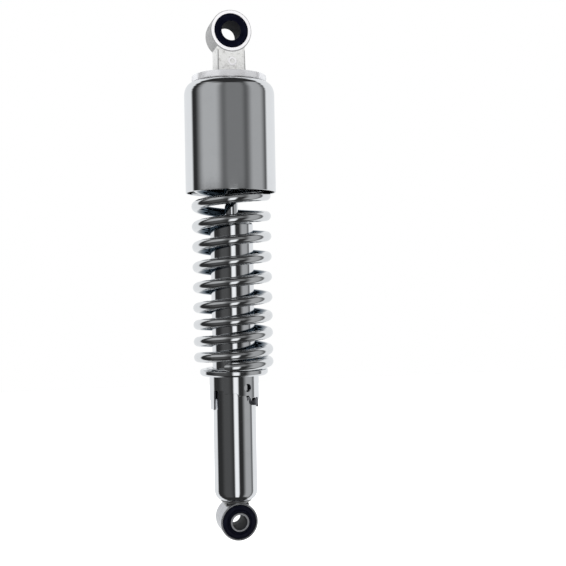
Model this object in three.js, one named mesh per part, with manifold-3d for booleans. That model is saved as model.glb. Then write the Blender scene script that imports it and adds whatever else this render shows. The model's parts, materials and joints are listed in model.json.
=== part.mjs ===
// Rear shock absorber of a small motorcycle, in millimetres, +Z up.
// The origin is the centre of the lower eye. Both eyes lie along Y and the damper's axis is Z.
// A twin-tube damper carries a stepped preload collar, a spring seat and a progressive coil
// spring. The rod carries the piston below, and the bump stop, shroud and upper mount above.

import * as THREE from 'three';
import { mergeVertices } from 'three/addons/utils/BufferGeometryUtils.js';
import Module from 'manifold-3d';

const wasm = await Module();
wasm.setup();

// ---------------------------------------------------------------- driving dimensions

const EYE_DISTANCE = 330;
const GAP = 0.3;
const RUNNING_CLEARANCE = 0.12;

const TUBE = { radius: 14.5, wall: 1.3, bottom: 13.4, top: 201.2, shoulderRise: 6.6, shoulderIn: 5.2 };
const PRESSURE_TUBE = { bore: 9.05, wall: 1.0, bottom: 27 };
const ROD = { radius: 4.5, spigot: 3.0, thread: 4.0, bottom: 142, shoulder: 161.5, threadStart: 289.2, top: 315 };

const LOWER_EYE = { radius: 12.6, wall: 1.6, halfLength: 10.5 };
const SLEEVE = { radius: 6.35, bore: 5, halfLength: 12 };
const UPPER_EYE = { radius: 14, bore: 11.55, halfDepth: 11, neckHalfWidth: 9, bushBore: 6.6 };

const DISC = { radius: 25.4, low: 296.4, high: 301 };
const COVER = { radius: 30.65, sheet: 1, low: 223, high: 296.1, shoulderRise: 8.1, shoulderIn: 5.5 };

const WIRE_RADIUS = 3.3;
const COIL_RADIUS = 23.7;
const SEAT = { radius: 23, low: 98.2, high: 102.2, spigot: 19.6, spigotRise: 3 };
const SPRING = {
  low: SEAT.high + GAP,
  high: 290,
  startCentre: 104.9,
  startAngle: -115,
  closedPitch: 6.9,
  closedTurns: 0.95,
  tightPitch: 11.4,
  tightTurns: 2.8,
  openPitch: 13.78,
  blendTurns: 0.25,
};

const PEG = { radius: 2.7, height: 80.5, angle: -46.5, tip: 17.9 };
const CAM = {
  bore: 14.8,
  radius: 16.7,
  high: 97.9,
  legLow: 75.5,
  stepAngle: 32,
  stepRise: 1.75,
  stepsBelow: 3,
  stepsAbove: 1,
  legWidth: 21,
  holeRadius: 2.75,
  holeHeight: 90.3,
  holeAngle: -71,
};

const FACETS = { large: 36, round: 28, inner: 20, hole: 10, cam: 72 };

// ---------------------------------------------------------------- finishes

const FINISH = {
  chrome: { color: 0xd9dadd, roughness: 0.08, metalness: 1 },
  springSteel: { color: 0xc9cacd, roughness: 0.12, metalness: 1 },
  castAluminium: { color: 0xb9babb, roughness: 0.45, metalness: 1 },
  zincSteel: { color: 0xbfc1c4, roughness: 0.28, metalness: 1 },
  plainSteel: { color: 0x8f9296, roughness: 0.35, metalness: 1 },
  sinteredIron: { color: 0x5d5c5a, roughness: 0.6, metalness: 0.9 },
  bronze: { color: 0x9c7a4a, roughness: 0.4, metalness: 1 },
  rubber: { color: 0x14161c, roughness: 0.7, metalness: 0 },
  sealRubber: { color: 0x2a2220, roughness: 0.6, metalness: 0 },
  polyurethane: { color: 0xb79a55, roughness: 0.55, metalness: 0 },
  ptfe: { color: 0x3c4a44, roughness: 0.4, metalness: 0 },
};

// ---------------------------------------------------------------- shape helpers

const shock = new THREE.Group();

const radians = (degrees) => THREE.MathUtils.degToRad(degrees);

// Adds one named piece to the shock absorber.
function add(name, geometry, finish) {
  const mesh = new THREE.Mesh(geometry, new THREE.MeshStandardMaterial(finish));
  mesh.name = name;
  shock.add(mesh);
  return mesh;
}

// Turns a profile of [radius, height] points about Y.
// A profile that does not start and end on the axis is closed on itself.
function turnAboutY(profile, facets) {
  const points = profile.map(([radius, height]) => new THREE.Vector2(radius, height));
  const onAxis = profile[0][0] === 0 && profile[profile.length - 1][0] === 0;
  if (!onAxis) {
    points.push(points[0].clone());
  }
  return new THREE.LatheGeometry(points, facets);
}

// Turns a profile of [radius, height] points about Z.
function turn(profile, facets = FACETS.inner) {
  return turnAboutY(profile, facets).rotateX(Math.PI / 2);
}

// A plain ring between two radii and two heights, its outer corners cut by a chamfer.
function ringProfile(inner, outer, low, high, chamfer = 0.3) {
  return [
    [inner, low],
    [outer - chamfer, low],
    [outer, low + chamfer],
    [outer, high - chamfer],
    [outer - chamfer, high],
    [inner, high],
  ];
}

// Points of a quarter or part of an ellipse, angles in degrees.
function ellipseArc(centre, radii, from, to, steps) {
  const points = [];
  for (let i = 0; i <= steps; i += 1) {
    const angle = radians(from + ((to - from) * i) / steps);
    points.push([centre[0] + radii[0] * Math.cos(angle), centre[1] + radii[1] * Math.sin(angle)]);
  }
  return points;
}

// A closed geometry as a solid that can be joined and cut.
function solidOf(geometry) {
  const bare = geometry.clone();
  bare.deleteAttribute('normal');
  bare.deleteAttribute('uv');
  const merged = mergeVertices(bare, 1e-4);
  return new wasm.Manifold(new wasm.Mesh({
    numProp: 3,
    vertProperties: new Float32Array(merged.attributes.position.array),
    triVerts: new Uint32Array(merged.index.array),
  }));
}

// The geometry of a joined or cut solid.
function geometryOf(solid) {
  const mesh = solid.getMesh();
  const geometry = new THREE.BufferGeometry();
  geometry.setAttribute('position', new THREE.BufferAttribute(new Float32Array(mesh.vertProperties), 3));
  geometry.setIndex(new THREE.BufferAttribute(new Uint32Array(mesh.triVerts), 1));
  geometry.computeVertexNormals();
  return geometry;
}

// Cuts one geometry with several others.
function cut(geometry, cutters) {
  return geometryOf(cutters.reduce((solid, cutter) => solid.subtract(solidOf(cutter)), solidOf(geometry)));
}

// A cylinder along Z between two heights.
function post(radius, low, high, facets = FACETS.hole) {
  return new THREE.CylinderGeometry(radius, radius, high - low, facets)
    .rotateX(Math.PI / 2)
    .translate(0, 0, (low + high) / 2);
}

// A cylinder that points out from the Z axis at one height and angle.
function radialPost(radius, height, angle, from, to, facets = FACETS.inner) {
  return post(radius, from, to, facets)
    .rotateY(Math.PI / 2)
    .rotateZ(radians(angle))
    .translate(0, 0, height);
}

// Parallel ports on a circle about Z.
function portRing(count, radius, circle, low, high) {
  return Array.from({ length: count }, (_, i) => {
    const angle = (2 * Math.PI * i) / count;
    return post(radius, low, high).translate(circle * Math.cos(angle), circle * Math.sin(angle), 0);
  });
}

// A hexagon nut with a round bore, standing on a height.
function hexNut(acrossFlats, bore, low, high) {
  const corner = acrossFlats / Math.sqrt(3);
  const outline = new THREE.Shape();
  for (let i = 0; i < 6; i += 1) {
    const angle = (Math.PI * i) / 3;
    const move = i === 0 ? 'moveTo' : 'lineTo';
    outline[move](corner * Math.cos(angle), corner * Math.sin(angle));
  }
  outline.closePath();
  outline.holes.push(new THREE.Path().absarc(0, 0, bore, 0, 2 * Math.PI, true));
  return new THREE.ExtrudeGeometry(outline, {
    depth: high - low,
    bevelEnabled: false,
    curveSegments: FACETS.hole / 2,
  }).translate(0, 0, low);
}

// ---------------------------------------------------------------- damper body

// The outer tube: drawn in at the foot, rolled over the top cap at the mouth.
function damperTube() {
  const { radius, wall, bottom, top, shoulderRise, shoulderIn } = TUBE;
  const bore = radius - wall;
  const footHole = 8;
  const lip = 11.6;
  const roll = 1.8;
  const arcSteps = 4;
  return turn([
    [footHole, bottom],
    ...ellipseArc([radius - shoulderIn, bottom + shoulderRise], [shoulderIn, shoulderRise], -90, 0, arcSteps),
    ...ellipseArc([radius - roll, top - roll], [roll, roll], 0, 90, 2),
    [lip, top],
    [lip, top - wall],
    [bore, top - wall],
    ...ellipseArc(
      [radius - shoulderIn, bottom + shoulderRise],
      [shoulderIn - wall, shoulderRise - wall],
      0,
      -90,
      arcSteps,
    ),
    [footHole, bottom + wall],
  ], FACETS.round);
}

// The dished plate that closes the foot of the outer tube.
function baseCap() {
  return turn([
    [0, 15],
    [8.7, 15],
    [11.3, 17.4],
    [12.8, 21],
    [12.8, 25],
    [11.6, 25],
    [11.6, 21.4],
    [10.4, 18.7],
    [8.1, 16.6],
    [0, 16.6],
  ]);
}

// The foot valve's body, standing on the base cap and holding the pressure tube.
function baseValve() {
  const bore = 1.6;
  const body = turn([
    [8.6, 18.9],
    [10, 18.9],
    [10, PRESSURE_TUBE.bottom - GAP],
    [8.85, PRESSURE_TUBE.bottom - GAP],
    [8.85, 31.5],
    [bore, 31.5],
    [bore, 22],
    [8.6, 22],
  ]);
  return cut(body, portRing(4, 1, 5.2, 20, 33));
}

function baseValveRivet() {
  return turn([
    [0, 20.4],
    [3, 20.4],
    [3, 21.7],
    [1.4, 21.7],
    [1.4, 33.1],
    [3.2, 33.1],
    [2.4, 34.5],
    [0, 34.5],
  ], FACETS.hole);
}

// The guide closes the pressure tube and carries the rod's bush and the body's O-ring.
function rodGuide() {
  const groove = { low: 180.8, high: 183.6, floor: 11.2 };
  return turn([
    [5.9, 172],
    [8.85, 172],
    [8.85, 178],
    [13, 178],
    [13, groove.low],
    [groove.floor, groove.low],
    [groove.floor, groove.high],
    [13, groove.high],
    [13, 187.3],
    [5.9, 187.3],
  ]);
}

function oilSeal() {
  const lip = ROD.radius + RUNNING_CLEARANCE;
  return turn([
    [lip, 188.4],
    [5.8, 187.6],
    [13, 187.6],
    [13, 193.3],
    [5.8, 193.3],
    [lip, 192.5],
  ]);
}

// The pressed cap under the tube's rolled edge, with a recess for the wiper.
function topCap() {
  return turn([
    [5.2, 193.6],
    [13.1, 193.6],
    [13.1, TUBE.top - TUBE.wall - GAP],
    [11.3, TUBE.top - TUBE.wall - GAP],
    [11.3, 201],
    [8.8, 202.7],
    [7.2, 202.7],
    [7.2, 198.6],
    [5.2, 198.6],
  ]);
}

function dustWiper() {
  const lip = ROD.radius + RUNNING_CLEARANCE;
  return turn([
    [lip, 198.9],
    [7, 198.9],
    [7, 202.9],
    [5.5, 204.3],
    [lip, 204.3],
  ]);
}

// The plate between the tube's foot and the lower eye, hollowed to the eye's curve.
function eyeSaddle() {
  const plate = turn([
    [0, 8],
    [10.2, 8],
    [12, 11.4],
    [12, TUBE.bottom - GAP],
    [0, TUBE.bottom - GAP],
  ], FACETS.round);
  const eye = new THREE.CylinderGeometry(LOWER_EYE.radius + 0.1, LOWER_EYE.radius + 0.1, 40, FACETS.round);
  return cut(plate, [eye]);
}

// One weld bead along the eye, in the corner between the saddle and the eye.
function weldBead(side) {
  const bead = new THREE.CapsuleGeometry(1.5, 14, 2, FACETS.hole).translate(side * 11.6, 0, 7.6);
  const eye = new THREE.CylinderGeometry(LOWER_EYE.radius + GAP, LOWER_EYE.radius + GAP, 40, FACETS.round);
  const saddle = turn([
    [0, 8 - GAP],
    [10.2 + GAP, 8 - GAP],
    [12 + GAP, 11.4],
    [12 + GAP, 14],
    [0, 14],
  ], FACETS.round);
  return cut(bead, [eye, saddle]);
}

function lowerEyeRing() {
  const { radius, wall, halfLength } = LOWER_EYE;
  return turnAboutY(ringProfile(radius - wall, radius, -halfLength, halfLength, 0.5), FACETS.round);
}

// A rubber bush whose end faces swell into a round ring.
function lowerBush() {
  const outer = LOWER_EYE.radius - LOWER_EYE.wall - 0.1;
  const bore = SLEEVE.radius + RUNNING_CLEARANCE;
  return turnAboutY([
    [bore, -10.3],
    [7.7, -10.4],
    [8.3, -11.2],
    [9.7, -11.2],
    [outer, -10],
    [outer, 10],
    [9.7, 11.2],
    [8.3, 11.2],
    [7.7, 10.4],
    [bore, 10.3],
  ], FACETS.round);
}

function camPeg(angle) {
  const peg = radialPost(PEG.radius, PEG.height, angle, TUBE.radius - 1, PEG.tip);
  return cut(peg, [post(TUBE.radius + 0.1, 60, 100, FACETS.round)]);
}

add('damper_tube', damperTube(), FINISH.chrome);
add('base_cap', baseCap(), FINISH.plainSteel);
add('base_valve', baseValve(), FINISH.sinteredIron);
add('base_valve_plate', turn(ringProfile(1.7, 7.8, 31.8, 32.8, 0.1)), FINISH.plainSteel);
add('base_valve_rivet', baseValveRivet(), FINISH.plainSteel);
add('pressure_tube', turn([
  [PRESSURE_TUBE.bore, PRESSURE_TUBE.bottom],
  [PRESSURE_TUBE.bore + PRESSURE_TUBE.wall, PRESSURE_TUBE.bottom],
  [PRESSURE_TUBE.bore + PRESSURE_TUBE.wall, 177.7],
  [PRESSURE_TUBE.bore, 177.7],
]), FINISH.plainSteel);
add('rod_guide', rodGuide(), FINISH.sinteredIron);
add('guide_bush', turn([
  [ROD.radius + RUNNING_CLEARANCE, 172.2],
  [5.75, 172.2],
  [5.75, 187.1],
  [ROD.radius + RUNNING_CLEARANCE, 187.1],
]), FINISH.bronze);
add('guide_o_ring', turn(ellipseArc([12.25, 182.2], [0.85, 0.85], -180, 135, 7)), FINISH.sealRubber);
add('oil_seal', oilSeal(), FINISH.sealRubber);
add('body_top_cap', topCap(), FINISH.zincSteel);
add('dust_wiper', dustWiper(), FINISH.sealRubber);
add('eye_saddle', eyeSaddle(), FINISH.zincSteel);
add('weld_bead_left', weldBead(-1), FINISH.plainSteel);
add('weld_bead_right', weldBead(1), FINISH.plainSteel);
add('lower_eye_ring', lowerEyeRing(), FINISH.zincSteel);
add('lower_bush', lowerBush(), FINISH.rubber);
add('cam_peg_right', camPeg(PEG.angle), FINISH.plainSteel);
add('cam_peg_left', camPeg(PEG.angle + 180), FINISH.plainSteel);

// ---------------------------------------------------------------- lower sleeve

add('lower_sleeve', turnAboutY(
  ringProfile(SLEEVE.bore, SLEEVE.radius, -SLEEVE.halfLength, SLEEVE.halfLength),
  FACETS.round,
), FINISH.zincSteel);

// ---------------------------------------------------------------- preload collar and seat

// Height of the collar's lower edge at an angle from the peg, in degrees.
// The edge climbs evenly, clear of the peg, with a round notch at each setting.
function camEdge(angle) {
  const slope = CAM.stepRise / CAM.stepAngle;
  const softest = -(CAM.stepsBelow + 0.5) * CAM.stepAngle;
  const hardest = (CAM.stepsAbove + 0.5) * CAM.stepAngle;
  const local = THREE.MathUtils.euclideanModulo(angle - softest, 180) + softest;
  if (local > hardest) {
    return CAM.legLow;
  }
  const ramp = PEG.height + PEG.radius + GAP - slope * local;
  const nearest = Math.round(local / CAM.stepAngle);
  const along = radians(local - nearest * CAM.stepAngle) * CAM.radius;
  const notchRadius = PEG.radius + 0.8;
  const notch = notchRadius > Math.abs(along) ? Math.sqrt(notchRadius ** 2 - along ** 2) : 0;
  return Math.max(ramp, PEG.height - slope * nearest * CAM.stepAngle + notch);
}

// The collar is a plain ring whose lower edge is lifted to the cam's height all round.
function preloadCam() {
  const ring = turn([
    [CAM.bore, CAM.legLow],
    [CAM.radius, CAM.legLow],
    [CAM.radius, CAM.high],
    [CAM.bore, CAM.high],
  ], FACETS.cam);
  const place = ring.attributes.position;
  for (let i = 0; i < place.count; i += 1) {
    if (place.getZ(i) < CAM.legLow + 0.01) {
      const angle = THREE.MathUtils.radToDeg(Math.atan2(place.getY(i), place.getX(i)));
      place.setZ(i, camEdge(angle - PEG.angle));
    }
  }
  const spannerHoles = [0, 180].map((turned) => (
    radialPost(CAM.holeRadius, CAM.holeHeight, CAM.holeAngle + turned, 12, 20, 16)
  ));
  return cut(ring, spannerHoles);
}

function lowerSpringSeat() {
  const bore = CAM.bore + 0.05;
  return turn([
    [bore, SEAT.low],
    [SEAT.radius - 0.7, SEAT.low],
    [SEAT.radius, SEAT.low + 0.7],
    [SEAT.radius, SEAT.high - 0.6],
    [SEAT.radius - 0.6, SEAT.high],
    [SEAT.spigot, SEAT.high],
    [SEAT.spigot - 0.4, SEAT.high + SEAT.spigotRise],
    [bore, SEAT.high + SEAT.spigotRise],
  ], FACETS.round);
}

add('preload_cam', preloadCam(), FINISH.chrome);
add('lower_spring_seat', lowerSpringSeat(), FINISH.chrome);

// ---------------------------------------------------------------- spring

// Pitch of the spring after a number of turns from the lower end, blended between its zones.
function pitchAt(turns, total) {
  const { closedPitch, closedTurns, tightPitch, tightTurns, openPitch, blendTurns } = SPRING;
  const step = (edge) => THREE.MathUtils.smoothstep(turns, edge - blendTurns, edge + blendTurns);
  const rise = (tightPitch - closedPitch) * step(closedTurns);
  const open = (openPitch - tightPitch) * step(closedTurns + tightTurns);
  const close = (openPitch - closedPitch) * step(total - closedTurns);
  return closedPitch + rise + open - close;
}

// The centre line of the wire: a right-hand helix whose pitch changes from zone to zone.
class CoilCurve extends THREE.Curve {
  constructor(total, samplesPerTurn = 48) {
    super();
    this.total = total;
    this.heights = [SPRING.startCentre];
    this.samples = Math.round(total * samplesPerTurn);
    for (let i = 0; i < this.samples; i += 1) {
      const middle = ((i + 0.5) / this.samples) * total;
      this.heights.push(this.heights[i] + (pitchAt(middle, total) * total) / this.samples);
    }
  }

  getPoint(t, target = new THREE.Vector3()) {
    const place = Math.min(t * this.samples, this.samples - 1e-9);
    const index = Math.floor(place);
    const height = THREE.MathUtils.lerp(this.heights[index], this.heights[index + 1], place - index);
    const angle = radians(SPRING.startAngle) + 2 * Math.PI * this.total * t;
    return target.set(COIL_RADIUS * Math.cos(angle), COIL_RADIUS * Math.sin(angle), height);
  }
}

// The spring's turns are counted so that its last turn closes against the upper seat.
function coilSpring() {
  const endDrop = SPRING.startCentre - SPRING.low;
  const topCentre = SPRING.high - endDrop;
  let total = 2 * SPRING.closedTurns;
  while (new CoilCurve(total).heights.at(-1) < topCentre) {
    total += 0.01;
  }
  const sides = 6;
  const stepsPerTurn = 16;
  const section = new THREE.Shape();
  section.absarc(0, 0, WIRE_RADIUS, 0, 2 * Math.PI, false);
  const wire = new THREE.ExtrudeGeometry(section, {
    steps: Math.round(total * stepsPerTurn),
    curveSegments: sides / 2,
    extrudePath: new CoilCurve(total),
    bevelEnabled: false,
  });
  const slab = (low, high) => new THREE.BoxGeometry(80, 80, high - low).translate(0, 0, (low + high) / 2);
  return cut(wire, [slab(SPRING.low - 10, SPRING.low), slab(SPRING.high, SPRING.high + 10)]);
}

// The pressed ring above the spring, with a lip that centres the top turn.
function upperSpringSeat() {
  return turn([
    [13.2, SPRING.high + GAP],
    [17.6, SPRING.high + GAP],
    [17.6, 285.5],
    [19.5, 285.5],
    [19.7, SPRING.high + GAP],
    [27.1, SPRING.high + GAP],
    [27.1, 292.1],
    [13.2, 292.1],
  ], FACETS.round);
}

add('coil_spring', coilSpring(), FINISH.springSteel);
add('upper_spring_seat', upperSpringSeat(), FINISH.zincSteel);

// ---------------------------------------------------------------- rod and piston

function pistonRod() {
  return turn([
    [0, ROD.bottom],
    [ROD.spigot - 0.5, ROD.bottom],
    [ROD.spigot, ROD.bottom + 0.5],
    [ROD.spigot, ROD.shoulder],
    [ROD.radius, ROD.shoulder],
    [ROD.radius, ROD.threadStart],
    [ROD.thread, ROD.threadStart],
    [ROD.thread, ROD.top - 0.8],
    [ROD.thread - 0.8, ROD.top],
    [0, ROD.top],
  ]);
}

function piston() {
  const groove = { low: 152.6, high: 157, floor: 7.9 };
  const body = turn([
    [3.2, 149.5],
    [8.4, 149.5],
    [8.7, 149.8],
    [8.7, groove.low],
    [groove.floor, groove.low],
    [groove.floor, groove.high],
    [8.7, groove.high],
    [8.7, 159.7],
    [8.4, 160],
    [3.2, 160],
  ]);
  return cut(body, portRing(6, 0.9, 5.4, 148, 162));
}

// The rubber stop at the top of the rod, with waists that let it fold as it is squeezed.
function bumpStop() {
  const bore = ROD.radius + 0.1;
  return turn([
    [bore, 266],
    [7.4, 266],
    [8.6, 268.6],
    [7.6, 271.2],
    [10, 274.4],
    [8.8, 277.4],
    [11.2, 280.8],
    [11.2, 287],
    [bore, 287],
  ]);
}

add('piston_rod', pistonRod(), FINISH.chrome);
add('rebound_bumper', turn(ringProfile(ROD.radius + 0.1, 8, 163.5, 171.7, 0.8)), FINISH.sealRubber);
add('check_valve_plate', turn(ringProfile(3.2, 7.5, 160.3, 161.2, 0.1)), FINISH.plainSteel);
add('piston', piston(), FINISH.sinteredIron);
add('piston_ring', turn([
  [8.05, 152.9],
  [8.9, 152.9],
  [8.9, 156.7],
  [8.05, 156.7],
]), FINISH.ptfe);
add('valve_shims', turn([
  [3.2, 147.4],
  [5, 147.4],
  [5, 147.9],
  [6.1, 147.9],
  [6.1, 148.4],
  [7.2, 148.4],
  [7.2, 149.2],
  [3.2, 149.2],
]), FINISH.plainSteel);
add('piston_nut', hexNut(10, 3.2, 142.8, 147.1), FINISH.zincSteel);
add('bump_stop', bumpStop(), FINISH.polyurethane);
add('bump_stop_washer', turn(ringProfile(ROD.radius + 0.1, 12, 287.3, 288.9, 0.2)), FINISH.zincSteel);
add('rod_lock_nut', hexNut(14, 4.3, ROD.threadStart + 0.1, 294.6), FINISH.zincSteel);

// ---------------------------------------------------------------- shroud and upper mount

// The shroud: a straight skirt, a rounded shoulder and a flat crown with a hole for the rod.
function upperCover() {
  const { radius, sheet, low, high, shoulderRise, shoulderIn } = COVER;
  const hole = 4.6;
  const centre = [radius - shoulderIn, high - shoulderRise];
  const arcSteps = 5;
  return turn([
    [hole, high - sheet],
    ...ellipseArc(centre, [shoulderIn - sheet, shoulderRise - sheet], 90, 0, arcSteps),
    [radius - sheet, low],
    [radius, low],
    ...ellipseArc(centre, [shoulderIn, shoulderRise], 0, 90, arcSteps),
    [hole, high],
  ], FACETS.large);
}

function topDisc() {
  const { radius, low, high } = DISC;
  return turn([
    [4.6, low],
    [radius - 0.8, low],
    [radius, low + 1],
    [radius, high - 1],
    [radius - 0.8, high],
    [4.6, high],
  ], FACETS.large);
}

// The cast mount: an eye on a solid neck, bored for the bush and tapped for the rod.
function upperEyeMount() {
  const { radius, bore, halfDepth, neckHalfWidth } = UPPER_EYE;
  const bevel = 0.8;
  const neckBottom = DISC.high + GAP;
  const joinAngle = Math.acos(neckHalfWidth / radius);
  const outline = new THREE.Shape();
  outline.moveTo(-neckHalfWidth, neckBottom);
  outline.lineTo(neckHalfWidth, neckBottom);
  outline.absarc(0, EYE_DISTANCE, radius, -joinAngle, Math.PI + joinAngle, false);
  outline.closePath();
  const casting = new THREE.ExtrudeGeometry(outline, {
    depth: 2 * (halfDepth - bevel),
    bevelThickness: bevel,
    bevelSize: bevel,
    bevelOffset: -bevel,
    bevelSegments: 1,
    curveSegments: 14,
  }).rotateX(Math.PI / 2).translate(0, halfDepth - bevel, 0);
  const eyeBore = new THREE.CylinderGeometry(bore, bore, 40, FACETS.round).translate(0, 0, EYE_DISTANCE);
  const rodHole = post(ROD.thread + GAP, neckBottom - 5, ROD.top + 1, FACETS.inner);
  const mark = new THREE.CylinderGeometry(2.75, 2.75, 1, FACETS.inner).translate(0, -halfDepth, 310);
  return geometryOf(solidOf(casting).add(solidOf(mark)).subtract(solidOf(eyeBore)).subtract(solidOf(rodHole)));
}

function upperEyeBush() {
  const outer = UPPER_EYE.bore - 0.1;
  const end = UPPER_EYE.halfDepth + 0.5;
  return turnAboutY([
    [UPPER_EYE.bushBore, -end + 0.5],
    [UPPER_EYE.bushBore + 0.5, -end],
    [outer - 0.6, -end],
    [outer, -end + 0.6],
    [outer, end - 0.6],
    [outer - 0.6, end],
    [UPPER_EYE.bushBore + 0.5, end],
    [UPPER_EYE.bushBore, end - 0.5],
  ], FACETS.round).translate(0, 0, EYE_DISTANCE);
}

add('upper_cover', upperCover(), FINISH.chrome);
add('top_disc', topDisc(), FINISH.castAluminium);
add('upper_eye_mount', upperEyeMount(), FINISH.castAluminium);
add('upper_eye_bush', upperEyeBush(), FINISH.rubber);

export default shock;
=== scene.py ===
"""Looks of a chrome coil-over rear shock absorber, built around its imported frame, in metres."""

import json
import logging
import math
from collections.abc import Iterable, Sequence
from dataclasses import dataclass, field
from enum import Enum
from functools import cache

import bmesh
import bpy
from mathutils import Matrix, Vector, noise


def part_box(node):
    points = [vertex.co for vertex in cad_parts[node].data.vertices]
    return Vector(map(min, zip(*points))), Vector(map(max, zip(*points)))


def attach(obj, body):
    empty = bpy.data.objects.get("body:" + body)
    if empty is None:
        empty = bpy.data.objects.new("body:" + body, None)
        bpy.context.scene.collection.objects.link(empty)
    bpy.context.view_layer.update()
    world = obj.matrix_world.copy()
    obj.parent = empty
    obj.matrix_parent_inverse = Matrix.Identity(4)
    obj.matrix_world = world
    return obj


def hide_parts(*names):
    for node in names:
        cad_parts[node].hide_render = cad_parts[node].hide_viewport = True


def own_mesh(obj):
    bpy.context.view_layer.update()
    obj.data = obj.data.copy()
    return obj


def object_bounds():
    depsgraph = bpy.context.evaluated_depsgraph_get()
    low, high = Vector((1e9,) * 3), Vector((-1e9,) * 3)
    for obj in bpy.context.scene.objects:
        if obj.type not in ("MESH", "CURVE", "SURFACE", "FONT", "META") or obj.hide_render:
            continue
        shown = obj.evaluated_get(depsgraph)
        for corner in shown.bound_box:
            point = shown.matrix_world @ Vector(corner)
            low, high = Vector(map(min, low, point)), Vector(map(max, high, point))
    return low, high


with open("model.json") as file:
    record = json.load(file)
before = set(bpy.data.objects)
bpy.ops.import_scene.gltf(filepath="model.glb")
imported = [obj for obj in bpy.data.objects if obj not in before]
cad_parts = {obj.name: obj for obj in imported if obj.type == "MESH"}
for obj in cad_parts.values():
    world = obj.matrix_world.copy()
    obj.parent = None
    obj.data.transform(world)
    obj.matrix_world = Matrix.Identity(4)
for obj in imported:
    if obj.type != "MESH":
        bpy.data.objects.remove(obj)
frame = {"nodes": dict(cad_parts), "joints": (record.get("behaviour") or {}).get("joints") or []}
CAD_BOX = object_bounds()

LOG = logging.getLogger("shock_absorber")

Colour = tuple[float, float, float]
Corner = tuple[float, float, float]
Point2 = tuple[float, float]
Number = float | int


class Axis(Enum):
    """The line that a turned piece is turned about."""

    UP = "Z"
    ACROSS = "Y"


class Body(str, Enum):
    """The bodies of the frame that pieces ride on."""

    DAMPER = "damper_body"
    SLEEVE = "bush_sleeve"
    SEAT = "seat_ring"
    COLLAR = "cam_collar"
    SPRING_TOP = "spring_top"
    ROD = "rod_assembly"


# ------------------------------------------------------------------ shader maths


class Value:
    """A node's output that takes part in arithmetic: each operator adds one Math node."""

    def __init__(self, tree: "Tree", socket: bpy.types.NodeSocket) -> None:
        """Wraps one output socket of a tree."""
        self.tree = tree
        self.socket = socket

    def _with(self, operation: str, first: "Value | Number", second: "Value | Number" = 0.0) -> "Value":
        """Adds one Math node for an operation on two values."""
        return self.tree.add("ShaderNodeMath", {"operation": operation}, {0: first, 1: second})

    def __add__(self, other: "Value | Number") -> "Value":
        """Sum."""
        return self._with("ADD", self, other)

    def __radd__(self, other: "Value | Number") -> "Value":
        """Sum with the number first."""
        return self._with("ADD", other, self)

    def __sub__(self, other: "Value | Number") -> "Value":
        """Difference."""
        return self._with("SUBTRACT", self, other)

    def __rsub__(self, other: "Value | Number") -> "Value":
        """Difference with the number first."""
        return self._with("SUBTRACT", other, self)

    def __mul__(self, other: "Value | Number") -> "Value":
        """Product."""
        return self._with("MULTIPLY", self, other)

    def __rmul__(self, other: "Value | Number") -> "Value":
        """Product with the number first."""
        return self._with("MULTIPLY", other, self)

    def __truediv__(self, other: "Value | Number") -> "Value":
        """Quotient."""
        return self._with("DIVIDE", self, other)

    def __pow__(self, other: "Value | Number") -> "Value":
        """Power."""
        return self._with("POWER", self, other)

    def __abs__(self) -> "Value":
        """Size without sign."""
        return self._with("ABSOLUTE", self)

    def arcsine(self) -> "Value":
        """Angle in radians whose sine this is."""
        return self._with("ARCSINE", self)

    def arctangent(self, other: "Value") -> "Value":
        """Bearing in radians of this value over another."""
        return self._with("ARCTAN2", self, other)

    def at_most(self, other: "Value | Number") -> "Value":
        """The lesser of two values."""
        return self._with("MINIMUM", self, other)

    def step(self, low: Number, high: Number) -> "Value":
        """Rises smoothly from 0 at low to 1 at high.

        Args:
            low: value where the rise starts.
            high: value where the rise ends; below low for a fall.

        Returns:
            The smooth step.
        """
        if low > high:
            return 1 - self.step(high, low)
        settings = {"interpolation_type": "SMOOTHSTEP", "clamp": True}
        inputs = {"Value": self, "From Min": low, "From Max": high}
        return self.tree.add("ShaderNodeMapRange", settings, inputs)


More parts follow.
